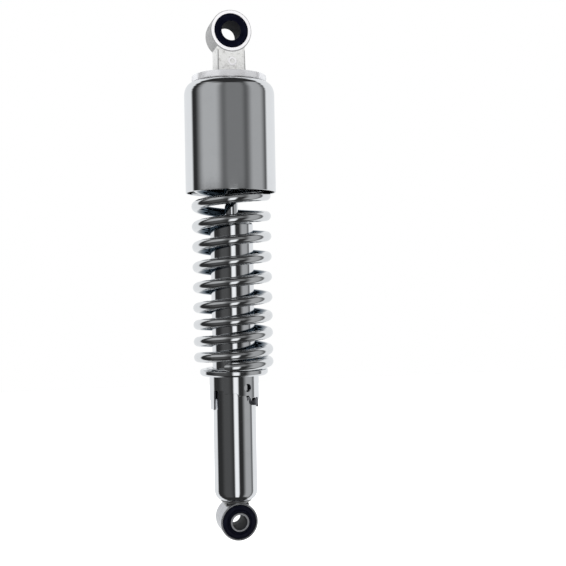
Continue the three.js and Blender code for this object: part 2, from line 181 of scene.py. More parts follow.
class Tree:
    """A node tree that is filled by calls."""

    def __init__(self, tree: bpy.types.NodeTree) -> None:
        """Empties a tree, ready to be filled."""
        self.tree = tree
        tree.nodes.clear()

    def add(
        self,
        kind: str,
        settings: dict[str, object] | None = None,
        inputs: dict[str | int, object] | None = None,
        output: str | int = 0,
    ) -> Value:
        """Adds one node.

        Args:
            kind: the node's type.
            settings: its properties.
            inputs: its sockets' links or values, by name or number.
            output: the output wanted, by name or number.

        Returns:
            The output, ready for arithmetic.
        """
        node = self.tree.nodes.new(kind)
        for name, value in (settings or {}).items():
            setattr(node, name, value)
        for name, value in (inputs or {}).items():
            self.link(value, node.inputs[name])
        if not node.outputs:
            return Value(self, None)
        return Value(self, node.outputs[output])

    def link(self, value: object, socket: bpy.types.NodeSocket) -> None:
        """Gives a socket a link, a number or a colour."""
        if isinstance(value, Value):
            self.tree.links.new(value.socket, socket)
        elif isinstance(value, tuple) and len(value) == 3 and socket.type == "RGBA":
            socket.default_value = (*value, 1.0)
        else:
            socket.default_value = value

    def place(self) -> Value:
        """Position on the piece, in metres, which moves with it."""
        return self.add("ShaderNodeTexCoord", output="Object")

    def split(self, vector: Value) -> tuple[Value, Value, Value]:
        """The three parts of a vector."""
        node = self.add("ShaderNodeSeparateXYZ", inputs={0: vector}).socket.node
        return tuple(Value(self, socket) for socket in node.outputs)

    def stretch(self, vector: Value, factors: tuple[float, float, float]) -> Value:
        """A vector with each part multiplied by its own factor."""
        return self.add("ShaderNodeVectorMath", {"operation": "MULTIPLY"}, {0: vector, 1: factors})

    def dot(self, vector: Value, other: tuple[float, float, float]) -> Value:
        """Dot product with a fixed vector."""
        return self.add("ShaderNodeVectorMath", {"operation": "DOT_PRODUCT"}, {0: vector, 1: other}, "Value")

    def noise(self, vector: Value, size: float, detail: float = 3.0, roughness: float = 0.55) -> Value:
        """Cloudy noise from 0 to 1 whose features have a size in metres."""
        inputs = {"Vector": vector, "Scale": 1.0 / size, "Detail": detail, "Roughness": roughness}
        return self.add("ShaderNodeTexNoise", None, inputs, "Fac")

    def cells(self, vector: Value, size: float) -> Value:
        """Distance to the nearest of many scattered points, in cells of a size in metres."""
        return self.add("ShaderNodeTexVoronoi", None, {"Vector": vector, "Scale": 1.0 / size}, "Distance")

    def mix(self, factor: "Value | Number", first: "Value | Colour", second: "Value | Colour") -> Value:
        """A colour between two others."""
        settings = {"data_type": "RGBA"}
        node = self.add("ShaderNodeMix", settings).socket.node
        self.link(factor, node.inputs[0])
        self.link(first, node.inputs[6])
        self.link(second, node.inputs[7])
        return Value(self, node.outputs[2])

    def bump(self, height: Value, depth: float, under: Value | None = None) -> Value:
        """A normal roughened by a height that varies over a depth in metres."""
        inputs: dict[str | int, object] = {"Strength": 1.0, "Distance": depth, "Height": height}
        if under is not None:
            inputs["Normal"] = under
        return self.add("ShaderNodeBump", None, inputs)


# ------------------------------------------------------------------ finishes


class Finish:
    """A surface finish. Each kind fills in one Principled shader."""

    name = "finish"

    @cache
    def material(self) -> bpy.types.Material:
        """Makes the finish's material, once.

        Returns:
            The material, shared by every piece with the same finish.
        """
        made = bpy.data.materials.new(f"{self.name}_surface")
        made.use_nodes = True
        tree = Tree(made.node_tree)
        shader = tree.add("ShaderNodeBsdfPrincipled", None, self.sockets(tree))
        tree.add("ShaderNodeOutputMaterial", None, {"Surface": shader})
        return made

    def sockets(self, tree: Tree) -> dict[str | int, object]:
        """The Principled sockets of the finish."""
        raise NotImplementedError


@dataclass(frozen=True)
class Chrome(Finish):
    """Bright chrome plate with wiping marks, smudges and a faint waviness of the sheet under it."""

    name: str = "chrome_plate"
    tint: Colour = (0.86, 0.865, 0.875)
    polish: float = 0.035
    smudge: float = 0.05
    wave_depth: float = 0.00001
    grain: tuple[float, float, float] = (1.0, 1.0, 14.0)

    def sockets(self, tree: Tree) -> dict[str | int, object]:
        """The Principled sockets of chrome."""
        place = tree.place()
        cloud = tree.noise(place, 0.014, 4.0)
        print_marks = tree.noise(place, 0.004, 2.0).step(0.58, 0.75)
        smudges = cloud.step(0.48, 0.7) * 0.7 + print_marks * 0.3
        wiping = tree.noise(tree.stretch(place, self.grain), 0.0012, 2.0).step(0.45, 0.8)
        pits = tree.cells(place, 0.0011).step(0.09, 0.03)
        roughness = smudges * self.smudge + wiping * 0.03 + self.polish + pits * 0.1
        colour = tree.mix(smudges * 0.35, self.tint, tuple(0.9 * part for part in self.tint))
        waves = tree.bump(tree.noise(place, 0.02, 1.0), self.wave_depth)
        return {
            "Base Color": colour,
            "Metallic": 1.0,
            "Roughness": roughness,
            "Normal": tree.bump(wiping - pits, 0.000001, waves),
        }


@dataclass(frozen=True)
class CoilChrome(Chrome):
    """Chrome on a coil, with painted shade where the wire faces the coil's axis."""

    name: str = "chrome_spring"
    tint: Colour = (0.84, 0.845, 0.85)
    polish: float = 0.05
    smudge: float = 0.06
    grain: tuple[float, float, float] = (2.0, 2.0, 2.0)
    # painted shade: dark colour for the wire's side that faces the coil's axis
    painted_inner_shade: Colour = (0.07, 0.10, 0.13)

    def sockets(self, tree: Tree) -> dict[str | int, object]:
        """The Principled sockets of the coil."""
        made = super().sockets(tree)
        east, north, _ = tree.split(tree.place())
        normal_east, normal_north, _ = tree.split(tree.add("ShaderNodeTexCoord", output="Normal"))
        outward = (east * normal_east + north * normal_north) / (east * east + north * north) ** 0.5
        # painted shade: the wire is darkened where it faces the coil's axis
        inside = outward.step(0.1, -0.45)
        made["Base Color"] = tree.mix(inside, made["Base Color"], self.painted_inner_shade)
        return made


@dataclass(frozen=True)
class CastAluminium(Finish):
    """Sand-cast aluminium with bright machined eye faces and painted shade along its eye rim and neck corners.
    """

    name: str = "cast_aluminium"
    tint: Colour = (0.84, 0.84, 0.83)
    dirt: Colour = (0.44, 0.435, 0.42)
    # painted shade: colour of the dark lines round the eye rim and down the neck corners
    line: Colour = (0.16, 0.16, 0.165)
    face: float = 0.0109
    eye_height: float = 0.33
    eye_radius: float = 0.0138
    neck: Point2 = (0.0092, 0.0105)

    def sockets(self, tree: Tree) -> dict[str | int, object]:
        """The Principled sockets of the casting."""
        place = tree.place()
        east, north, height = tree.split(place)
        above = height - self.eye_height
        painted_rim_shade = abs((east * east + above * above) ** 0.5 - self.eye_radius).step(0.00055, 0.00015)
        near_side = abs(abs(east) - self.neck[0]).step(0.0009, 0.0003)
        near_front = abs(abs(north) - self.neck[1]).step(0.0013, 0.0005)
        machined = abs(north).step(self.face - 0.00005, self.face)
        grain = tree.noise(place, 0.0009, 5.0, 0.65)
        sand = tree.cells(place, 0.0007)
        smears = tree.noise(place, 0.0035, 4.0, 0.6).step(0.5, 0.68)
        cuts = tree.noise(place, 0.0003, 2.0)
        cast = tree.mix(smears * 0.6 + grain * 0.3, self.tint, self.dirt)
        colour = tree.mix(machined, cast, (0.9, 0.89, 0.91))
        # painted shade: dark lines round the eye rim and down the neck corners below the eye
        corner = near_side * near_front * above.step(-0.0125, -0.0135)
        colour = tree.mix((painted_rim_shade + corner).at_most(1.0) * (grain * 0.5 + 0.45), colour, self.line)
        skin = (grain * 0.7 + sand * 0.5) * (1 - machined)
        return {
            "Base Color": colour,
            "Metallic": 0.2,
            "Specular IOR Level": 0.2,
            "Roughness": (grain * 0.2 + 0.3) * (1 - machined) + machined * (0.24 + cuts * 0.12),
            "Normal": tree.bump(skin + cuts * machined * 0.05, 0.0003),
        }


@dataclass(frozen=True)
class PlatedSteel(Finish):
    """Steel with a thin bright plating over its turning or rolling lines."""

    name: str = "zinc_steel"
    tint: Colour = (0.74, 0.75, 0.77)
    polish: float = 0.2
    stain: Colour = (0.48, 0.48, 0.47)
    line_depth: float = 0.000006
    metal: float = 1.0

    def sockets(self, tree: Tree) -> dict[str | int, object]:
        """The Principled sockets of plated steel."""
        place = tree.place()
        lines = tree.noise(tree.stretch(place, (1.0, 1.0, 8.0)), 0.0008, 3.0)
        cloud = tree.noise(place, 0.006, 4.0, 0.6).step(0.45, 0.75)
        specks = tree.cells(place, 0.0016).step(0.1, 0.03)
        return {
            "Base Color": tree.mix(cloud * 0.5 + specks * 0.4, self.tint, self.stain),
            "Metallic": self.metal,
            "Roughness": lines * 0.16 + cloud * 0.12 + self.polish,
            "Normal": tree.bump(lines - specks * 0.5, self.line_depth),
        }


@dataclass(frozen=True)
class SleeveSteel(PlatedSteel):
    """Plated steel whose bore is painted near black as shade."""

    name: str = "sleeve_steel"
    tint: Colour = (0.6, 0.6, 0.62)
    bore: float = 0.0052

    def sockets(self, tree: Tree) -> dict[str | int, object]:
        """The Principled sockets of the sleeve."""
        made = super().sockets(tree)
        east, _, up = tree.split(tree.place())
        # painted shade: the bore is coloured near black, made less metallic and rougher
        painted_bore_shade = ((east * east + up * up) ** 0.5).step(self.bore, self.bore - 0.0001)
        made["Base Color"] = tree.mix(painted_bore_shade, made["Base Color"], (0.008, 0.009, 0.014))
        made["Metallic"] = 1 - painted_bore_shade * 0.9
        made["Roughness"] = made["Roughness"] + painted_bore_shade * 0.35
        return made


@dataclass(frozen=True)
class Sintered(Finish):
    """Pressed and sintered iron, dull and finely porous."""

    name: str = "sintered_iron"
    tint: Colour = (0.21, 0.205, 0.2)

    def sockets(self, tree: Tree) -> dict[str | int, object]:
        """The Principled sockets of sintered iron."""
        place = tree.place()
        grain = tree.noise(place, 0.0004, 5.0, 0.7)
        pores = tree.cells(place, 0.0005).step(0.25, 0.05)
        oil = tree.noise(place, 0.005, 3.0).step(0.4, 0.7)
        dark = tuple(0.35 * part for part in self.tint)
        return {
            "Base Color": tree.mix(pores * 0.7 + oil * 0.3, self.tint, dark),
            "Metallic": 0.85,
            "Roughness": 0.62 + grain * 0.2 - oil * 0.25,
            "Normal": tree.bump(grain - pores, 0.00003),
        }


@dataclass(frozen=True)
class Rubber(Finish):
    """Moulded rubber with a fine skin, a grey bloom and a slight oily sheen."""

    name: str = "mount_rubber"
    tint: Colour = (0.0016, 0.002, 0.0085)
    bloom: Colour = (0.006, 0.008, 0.022)
    polish: float = 0.36
    gloss: float = 0.14

    def sockets(self, tree: Tree) -> dict[str | int, object]:
        """The Principled sockets of rubber."""
        place = tree.place()
        skin = tree.noise(place, 0.00045, 4.0, 0.6)
        cloud = tree.noise(place, 0.004, 4.0, 0.6).step(0.4, 0.8)
        dust = tree.cells(place, 0.0012).step(0.12, 0.04)
        return {
            "Base Color": tree.mix(cloud * 0.5 + dust * 0.3, self.tint, self.bloom),
            "Roughness": skin * 0.2 + cloud * 0.1 + self.polish,
            "Specular IOR Level": self.gloss,
            "Normal": tree.bump(skin, 0.00004),
        }


@dataclass(frozen=True)
class Plastic(Finish):
    """A moulded plastic or foam with fine cells."""

    name: str = "stop_polyurethane"
    tint: Colour = (0.45, 0.31, 0.1)
    shade: Colour = (0.27, 0.17, 0.05)
    cell: float = 0.0006
    polish: float = 0.5

    def sockets(self, tree: Tree) -> dict[str | int, object]:
        """The Principled sockets of the plastic."""
        place = tree.place()
        cell = tree.cells(place, self.cell)
        cloud = tree.noise(place, 0.004, 3.0)
        return {
            "Base Color": tree.mix(cloud * 0.6 + cell * 0.3, self.tint, self.shade),
            "Roughness": cell * 0.2 + self.polish,
            "Normal": tree.bump(cell, 0.00004),
        }


@dataclass(frozen=True)
class PaleFloor(Finish):
    """A plain pale studio floor."""

    name: str = "pale_floor"

    def sockets(self, tree: Tree) -> dict[str | int, object]:
        """The Principled sockets of the floor."""
        speck = tree.noise(tree.place(), 0.01, 3.0)
        return {
            "Base Color": tree.mix(speck, (0.93, 0.93, 0.93), (0.96, 0.96, 0.96)),
            "Roughness": 0.9,
            "Emission Color": (1.0, 1.0, 1.0),
            "Emission Strength": 0.35,
        }


CHROME = Chrome()
SHROUD_CHROME = Chrome(name="shroud_chrome", polish=0.015, smudge=0.03, wave_depth=0.000012)
SPRING_CHROME = CoilChrome()
CASTING = CastAluminium()
DISC_STEEL = PlatedSteel(
    name="disc_plate", tint=(0.9, 0.9, 0.92), polish=0.06, stain=(0.7, 0.7, 0.72), metal=0.55,
)
RING_STEEL = PlatedSteel(name="ring_steel", tint=(0.55, 0.55, 0.57), polish=0.1, stain=(0.4, 0.4, 0.4))
ZINC = PlatedSteel()
OILED_STEEL = PlatedSteel(name="plain_steel", tint=(0.42, 0.43, 0.45), polish=0.28, stain=(0.22, 0.21, 0.2))
SLEEVE_STEEL = SleeveSteel()
PEG_STEEL = PlatedSteel(name="peg_steel", tint=(0.2, 0.2, 0.22), polish=0.2, stain=(0.08, 0.08, 0.09))
# painted shade: a near-black finish laid on the preload collar's cut faces
CUT_FACE_SHADE = PlatedSteel(name="cut_face_shade", tint=(0.1, 0.1, 0.12), polish=0.3, stain=(0.04, 0.04, 0.05))
WELD_STEEL = PlatedSteel(name="weld_steel", tint=(0.58, 0.58, 0.57), polish=0.3, stain=(0.3, 0.29, 0.27))
BRONZE = PlatedSteel(name="bronze_liner", tint=(0.56, 0.38, 0.19), polish=0.25, stain=(0.33, 0.2, 0.1))
SINTERED = Sintered()
RUBBER = Rubber()
DRY_RUBBER = Rubber(name="dry_rubber", polish=0.5, gloss=0.05)
SEAL_RUBBER = Rubber(name="seal_rubber", tint=(0.022, 0.017, 0.015), bloom=(0.05, 0.04, 0.036), polish=0.35)
POLYURETHANE = Plastic()
PTFE = Plastic(name="ptfe_band", tint=(0.03, 0.055, 0.05), shade=(0.015, 0.03, 0.028), cell=0.0003, polish=0.3)


# ------------------------------------------------------------------ making pieces


def finished(name: str, mesh: bpy.types.Mesh, finish: Finish, body: Body, *nodes: str) -> bpy.types.Object:
    """Puts a mesh in the scene as one piece of the shock absorber.

    Args:
        name: the piece's name.
        mesh: its mesh, in the frame's metres.
        finish: its surface finish.
        body: the frame body that it rides on.
        nodes: the frame's nodes that it stands for.

    Returns:
        The piece.
    """
    piece = bpy.data.objects.new(name, mesh)
    bpy.context.scene.collection.objects.link(piece)
    mesh.materials.clear()
    mesh.materials.append(finish.material())
    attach(piece, body.value)
    if nodes:
        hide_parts(*nodes)
    LOG.info("%s: %d faces, rides on %s", name, len(mesh.polygons), body.value)
    return piece


def smooth(mesh: bpy.types.Mesh, angle: float = 35.0) -> bpy.types.Mesh:
    """Shades a mesh smooth, with edges sharper than an angle in degrees kept crisp."""
    mesh.shade_smooth()
    mesh.set_sharp_from_angle(angle=math.radians(angle))
    return mesh


def evaluated(piece: bpy.types.Object) -> bpy.types.Mesh:
    """The mesh of an object with its modifiers applied, the object itself removed."""
    graph = bpy.context.evaluated_depsgraph_get()
    mesh = bpy.data.meshes.new_from_object(piece.evaluated_get(graph))
    bpy.data.objects.remove(piece)
    return mesh


def linked(mesh: bpy.types.Mesh, name: str = "work") -> bpy.types.Object:
    """A working object for a mesh, in the scene for as long as modifiers need it."""
    piece = bpy.data.objects.new(name, mesh)
    bpy.context.scene.collection.objects.link(piece)
    return piece


def joined(first: bpy.types.Mesh, others: Iterable[bpy.types.Mesh], operation: str) -> bpy.types.Mesh:
    """Joins or cuts solids.

    Args:
        first: the solid that is kept.
        others: the solids that are added to it or taken from it.
        operation: UNION or DIFFERENCE.

    Returns:
        The mesh of the result.
    """
    work = linked(first)
    tools = [linked(other, "tool") for other in others]
    for tool in tools:
        modifier = work.modifiers.new("join", "BOOLEAN")
        modifier.operation = operation
        modifier.solver = "MANIFOLD"
        modifier.object = tool
    mesh = evaluated(work)
    for tool in tools:
        bpy.data.objects.remove(tool)
    return mesh


@dataclass
class Turning:
    """A piece turned from a profile of corners, each with its own fillet.

    Corners are radius, height and fillet, in metres, with the material on the left as the profile
    runs. A profile whose ends are not on the axis closes on itself.
    """

    corners: Sequence[Corner]
    facets: int = 96
    axis: Axis = Axis.UP
    centre: tuple[float, float, float] = (0.0, 0.0, 0.0)
    arc_step: float = 15.0

    def _arc(
        self, before: Vector, corner: Vector, after: Vector, fillet: float
    ) -> list[tuple[Vector, Vector]]:
        """Points and normals of one rounded corner."""
        back, ahead = before - corner, after - corner
        reach = min(back.length, ahead.length) * 0.49
        back.normalize()
        ahead.normalize()
        half = back.angle(ahead) / 2
        tangent = min(fillet / math.tan(half), reach)
        radius = tangent * math.tan(half)
        centre = corner + (back + ahead).normalized() * math.hypot(tangent, radius)
        left_turn = back.x * ahead.y - back.y * ahead.x < 0
        start, end = corner + back * tangent - centre, corner + ahead * tangent - centre
        sweep = start.angle(end)
        steps = max(2, math.ceil(math.degrees(sweep) / self.arc_step))
        points = []
        for i in range(steps + 1):
            outward = start.slerp(end, i / steps)
            points.append((centre + outward * radius, outward if left_turn else -outward))
        return points

    def _outline(self) -> tuple[list[Vector], list[tuple[int, int, Vector, Vector]]]:
        """The profile's points, and its segments with the normal at each end."""
        corners = [(Vector((radius, height)), fillet) for radius, height, fillet in self.corners]
        closed = not (self.corners[0][0] == 0 and self.corners[-1][0] == 0)
        groups: list[list[tuple[Vector, Vector | None]]] = []
        for i, (corner, fillet) in enumerate(corners):
            inner = closed or 0 < i < len(corners) - 1
            if fillet > 0 and inner:
                before, after = corners[i - 1][0], corners[(i + 1) % len(corners)][0]
                groups.append(self._arc(before, corner, after, fillet))
            else:
                groups.append([(corner, None)])
        points: list[Vector] = []
        segments: list[tuple[int, int, Vector, Vector]] = []
        for g, group in enumerate(groups):
            first = len(points)
            points.extend(point for point, _ in group)
            for i in range(len(group) - 1):
                segments.append((first + i, first + i + 1, group[i][1], group[i + 1][1]))
            if g < len(groups) - 1 or closed:
                end = group[-1][0]
                start = groups[(g + 1) % len(groups)][0][0]
                run = (start - end).normalized()
                normal = Vector((run.y, -run.x))
                segments.append((len(points) - 1, len(points), normal, normal))
        if closed:
            segments[-1] = (segments[-1][0], 0, segments[-1][2], segments[-1][3])
        return points, segments

    def mesh(self, name: str) -> bpy.types.Mesh:
        """Turns the profile.

        Args:
            name: the mesh's name.

        Returns:
            A closed mesh with the profile's exact normals.
        """
        points, segments = self._outline()
        rings: list[list[int]] = []
        places: list[Vector] = []
        for point in points:
            count = 1 if point.x < 1e-9 else self.facets
            rings.append([len(places) + j for j in range(count)])
            for j in range(count):
                angle = 2 * math.pi * j / self.facets
                places.append(Vector((point.x * math.cos(angle), point.x * math.sin(angle), point.y)))
        faces: list[tuple[int, ...]] = []
        normals: list[Vector] = []
        for start, end, first, second in segments:
            for j in range(self.facets):
                k = (j + 1) % self.facets
                loop = []
                for ring, column, normal in (
                    (start, j, first), (start, j + 1, first), (end, j + 1, second), (end, j, second),
                ):
                    index = rings[ring][column % len(rings[ring])]
                    if index in [known for known, _ in loop]:
                        continue
                    angle = 2 * math.pi * column / self.facets
                    across = (normal.x * math.cos(angle), normal.x * math.sin(angle))
                    loop.append((index, Vector((*across, normal.y))))
                if len(loop) > 2:
                    faces.append(tuple(index for index, _ in loop))
                    normals.extend(normal for _, normal in loop)
        turn = Matrix.Rotation(math.radians(-90), 3, "X") if self.axis is Axis.ACROSS else Matrix.Identity(3)
        offset = Vector(self.centre)
        mesh = bpy.data.meshes.new(name)
        mesh.from_pydata([turn @ place + offset for place in places], [], faces)
        mesh.shade_smooth()
        mesh.normals_split_custom_set([turn @ normal for normal in normals])
        mesh.update()
        return mesh


def turned(
    name: str,
    corners: Sequence[Corner],
    finish: Finish,
    body: Body,
    *nodes: str,
    facets: int = 96,
    axis: Axis = Axis.UP,
    centre: tuple[float, float, float] = (0.0, 0.0, 0.0),
) -> bpy.types.Object:
    """Makes a piece that is a single turning.

    Args:
        name: the piece's name.
        corners: the profile's corners.
        finish: its surface finish.
        body: the frame body that it rides on.
        nodes: the frame's nodes that it stands for.
        facets: how many sides it has.
        axis: the line that it is turned about.
        centre: a point on that line.

    Returns:
        The piece.
    """
    return finished(name, Turning(corners, facets, axis, centre).mesh(name), finish, body, *nodes)


def arc_points(centre: Point2, radii: Point2, start: float, end: float, steps: int) -> list[Corner]:
    """Corners along part of an ellipse.

    Args:
        centre: its centre's radius and height.
        radii: its two radii.
        start: the first angle, in degrees.
        end: the last angle, in degrees.
        steps: how many pieces the arc has.

    Returns:
        The corners, lightly filleted into one another.
    """
    corners = []
    for i in range(steps + 1):
        angle = math.radians(start + (end - start) * i / steps)
        fillet = 0.0 if i in (0, steps) else 0.004
        across, up = radii[0] * math.cos(angle), radii[1] * math.sin(angle)
        corners.append((centre[0] + across, centre[1] + up, fillet))
    return corners


def both_ends(half: Sequence[Corner]) -> list[Corner]:
    """The whole profile of a piece that is the same at both ends, from the corners of its upper end."""
    return [(radius, -height, fillet) for radius, height, fillet in half] + list(reversed(half))


def ring_faces(rings: int, count: int, *, closed: bool = False, flip: bool = False) -> list[tuple[int, ...]]:
    """Faces that join rings of points, one ring to the next.

    Args:
        rings: how many rings there are.
        count: how many points each ring has.
        closed: whether the last ring joins the first.
        flip: whether each face runs the other way round.

    Returns:
        The faces, ring by ring.
    """
    faces = []
    for ring in range(rings if closed else rings - 1):
        a, b = ring * count, (ring + 1) % rings * count
        for side in range(count):
            other = (side + 1) % count
            corners = (b + side, b + other, a + other)
            faces.append((a + side, *(reversed(corners) if flip else corners)))
    return faces


def pointed_outward(mesh: bpy.types.Mesh, bearing: float, height: float) -> None:
    """Lays an upright turning on its side, pointing outwards at a bearing in degrees and a height."""
    turn = Matrix.Rotation(math.radians(bearing), 4, "Z") @ Matrix.Rotation(math.radians(90), 4, "Y")
    mesh.transform(Matrix.Translation((0, 0, height)) @ turn)


def polar(radius: float, bearing: float, height: float) -> Vector:
    """A point at a radius, a bearing in degrees and a height."""
    angle = math.radians(bearing)
    return Vector((radius * math.cos(angle), radius * math.sin(angle), height))


# ------------------------------------------------------------------ upper mount


@dataclass
class UpperMount:
    """The cast eye on its neck, its rubber bush, and the collar plate under it."""

    eye_height: float = 0.33
    eye_radius: float = 0.014
    eye_bore: float = 0.01155
    half_depth: float = 0.011
    bush_bore: float = 0.0066
    neck_half_width: float = 0.0092
    neck_half_depth: float = 0.0105
    neck_corner: float = 0.0014
    neck_flare: float = 0.0005
    voxel: float = 0.0004

    def build(self) -> None:
        """Builds the mount's three pieces."""
        self.casting(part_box("top_disc")[1].z + 0.0002)
        self.bush()
        self.plate()

    def _neck(self, low: float) -> bpy.types.Mesh:
        """The neck: a block with round corners that flares a little towards its foot."""
        levels = 12
        corner_steps = 6
        rings: list[list[Vector]] = []
        for level in range(levels + 1):
            share = level / levels
            height = low + (self.eye_height - low) * share
            flare = self.neck_flare * (1 - share) + 0.0012 * max(0.0, 1 - share * 9) ** 2
            half_x, half_y = self.neck_half_width + flare, self.neck_half_depth + flare * 0.6
            ring = []
            for quarter in range(4):
                for step in range(corner_steps + 1):
                    angle = math.radians(90 * quarter + 90 * step / corner_steps)
                    side_x = 1 if quarter in (0, 3) else -1
                    side_y = 1 if quarter in (0, 1) else -1
                    ring.append(Vector((
                        side_x * (half_x - self.neck_corner) + self.neck_corner * math.cos(angle),
                        side_y * (half_y - self.neck_corner) + self.neck_corner * math.sin(angle),
                        height,
                    )))
            rings.append(ring)
        count = len(rings[0])
        faces = [tuple(reversed(range(count))), tuple(levels * count + i for i in range(count))]
        faces += ring_faces(levels + 1, count, flip=True)
        mesh = bpy.data.meshes.new("neck")
        mesh.from_pydata([point for ring in rings for point in ring], [], faces)
        return mesh

    def casting(self, low: float) -> None:
        """The casting: eye, neck and casting mark run together, roughened, then bored."""
        depth, radius = self.half_depth, self.eye_radius
        centre = (0, 0, self.eye_height)
        eye = Turning(both_ends([(0, depth, 0), (radius, depth, 0.0007)]), axis=Axis.ACROSS, centre=centre)
        mark_face = -self.neck_half_depth - 0.00055
        mark = Turning(
            [(0.0018, 0.0, 0.0003), (0.0028, 0.0, 0.0003), (0.0028, 0.002, 0), (0.0018, 0.002, 0)],
            facets=48,
            axis=Axis.ACROSS,
            centre=(0.0005, mark_face, self.eye_height - 0.0205),
        ).mesh("mark")
        work = linked(joined(eye.mesh("eye"), [self._neck(low), mark], "UNION"))
        remesh = work.modifiers.new("remesh", "REMESH")
        remesh.mode = "VOXEL"
        remesh.voxel_size = self.voxel
        relax = work.modifiers.new("relax", "SMOOTH")
        relax.factor = 0.5
        relax.iterations = 3
        mesh = evaluated(work)
        self._roughen(mesh)
        bore = Turning(both_ends([(0, 0.02, 0), (self.eye_bore, 0.02, 0)]), axis=Axis.ACROSS, centre=centre)
        mesh = joined(mesh, [bore.mesh("bore")], "DIFFERENCE")
        finished("upper_eye_casting", smooth(mesh, 40), CASTING, Body.ROD, "upper_eye_mount")

    def _roughen(self, mesh: bpy.types.Mesh) -> None:
        """Moves the casting's skin in and out a little, but leaves the eye's machined faces flat."""
        flat = self.half_depth - 0.00012
        skin = [(vertex.co.copy(), vertex.normal.copy()) for vertex in mesh.vertices]
        moved: list[float] = []
        for place, normal in skin:
            if abs(place.y) > flat:
                place.y = math.copysign(self.half_depth, place.y)
            else:
                coarse, fine = noise.noise(place * 450), noise.noise(place * 1500)
                place -= normal * (0.00004 + 0.00005 * coarse + 0.00003 * fine)
            moved.extend(place)
        mesh.vertices.foreach_set("co", moved)
        mesh.update()

    def bush(self) -> None:
        """The rubber bush: a raised lip round the hole and a flatter outer face."""
        end = self.half_depth + 0.0005
        outer = self.eye_bore - 0.0001
        bore = self.bush_bore
        half = [
            (bore, end - 0.0002, 0.0003),
            (bore + 0.0013, end - 0.0002, 0.00025),
            (bore + 0.0016, end - 0.0007, 0.0002),
            (bore + 0.0021, end - 0.0006, 0.0003),
            (outer - 0.0009, end, 0.0006),
            (outer, end - 0.0009, 0.0003),
        ]
        turned(
            "upper_eye_bush_rubber", both_ends(half), DRY_RUBBER, Body.ROD, "upper_eye_bush",
            axis=Axis.ACROSS, centre=(0, 0, self.eye_height),
        )

    def plate(self) -> None:
        """The collar plate between the neck and the shroud, with rounded edges."""
        (_, _, low), (radius, _, high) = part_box("top_disc")
        hole = 0.0042
        corners = [(hole, low, 0), (radius, low, 0.0006), (radius, high, 0.0004), (hole, high, 0)]
        turned("collar_plate", corners, DISC_STEEL, Body.ROD, "top_disc", facets=160)


# ------------------------------------------------------------------ shroud


@dataclass
class Shroud:
    """The chrome shroud: straight skirt, elliptical shoulder, flat crown, rolled lower edge."""

    sheet: float = 0.0009
    shoulder_rise: float = 0.0081
    shoulder_in: float = 0.0055
    hole: float = 0.0046
    rolled_edge: float = 0.0012

    def build(self) -> None:
        """Builds the shroud from the frame's sizes."""
        low_corner, high_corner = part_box("upper_cover")
        low, high, radius = low_corner.z - self.rolled_edge, high_corner.z, high_corner.x
        centre = (radius - self.shoulder_in, high - self.shoulder_rise)
        outer = (self.shoulder_in, self.shoulder_rise)
        inner = (self.shoulder_in - self.sheet, self.shoulder_rise - self.sheet)
        corners = [
            (self.hole, high - self.sheet, 0),
            *arc_points(centre, inner, 90, 0, 8),
            (radius - self.sheet, low, 0.0004),
            (radius, low, 0.0004),
            *arc_points(centre, outer, 0, 90, 8),
            (self.hole, high, 0),
        ]
        turned("chrome_shroud", corners, SHROUD_CHROME, Body.ROD, "upper_cover", facets=192)


# ------------------------------------------------------------------ spring


